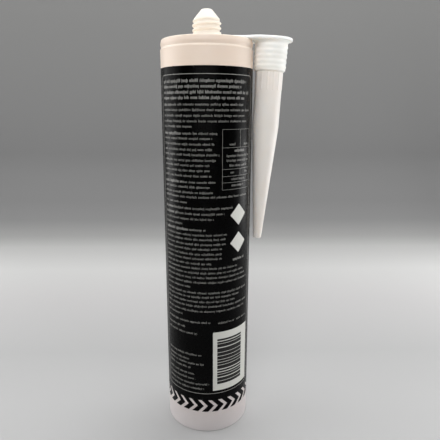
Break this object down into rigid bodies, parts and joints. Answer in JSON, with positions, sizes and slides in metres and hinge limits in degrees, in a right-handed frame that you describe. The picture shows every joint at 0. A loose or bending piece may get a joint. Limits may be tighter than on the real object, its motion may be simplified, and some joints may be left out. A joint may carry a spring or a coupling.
{
  "type": "sealant cartridge",
  "caption": "Tall round caulk tube with a closed threaded neck, a plunger in its open rear end, paste inside, and a cone nozzle hung upside down at its side by a flat plate.",
  "frame": {"origin": "centre of the barrel's open rear end, on which the part stands", "axes": "+Z along the barrel's axis towards the neck, +X towards the hanging nozzle, -Y towards the side of the print that the picture shows"},
  "size_m": [0.07, 0.0492, 0.2364],
  "materials": {
    "barrel_plastic": "satin moulded polyethylene, warm white",
    "print_ink": "near-black printing ink, half gloss",
    "nozzle_plastic": "satin moulded polyethylene, cool white, slightly milky",
    "plunger_plastic": "satin moulded polyethylene, natural white",
    "sealant_paste": "wet white paste"
  },
  "bodies": {
    "cartridge": {"cartridge_barrel": "barrel_plastic", "printed_field": "print_ink", "sealant": "sealant_paste"},
    "plunger": {"plunger": "plunger_plastic"},
    "nozzle": {"nozzle": "nozzle_plastic"}
  },
  "joints": [
    {"name": "plunger_slide", "type": "slide", "parent": "cartridge", "child": "plunger", "axis": [0, 0, 1], "range_m": [0, 0.18], "deforming": ["sealant"]},
    {"name": "nozzle_swivel", "type": "hinge", "parent": "cartridge", "child": "nozzle", "pos_m": [0, 0, 0.22175], "axis": [0, 0, 1], "continuous": true}
  ]
}
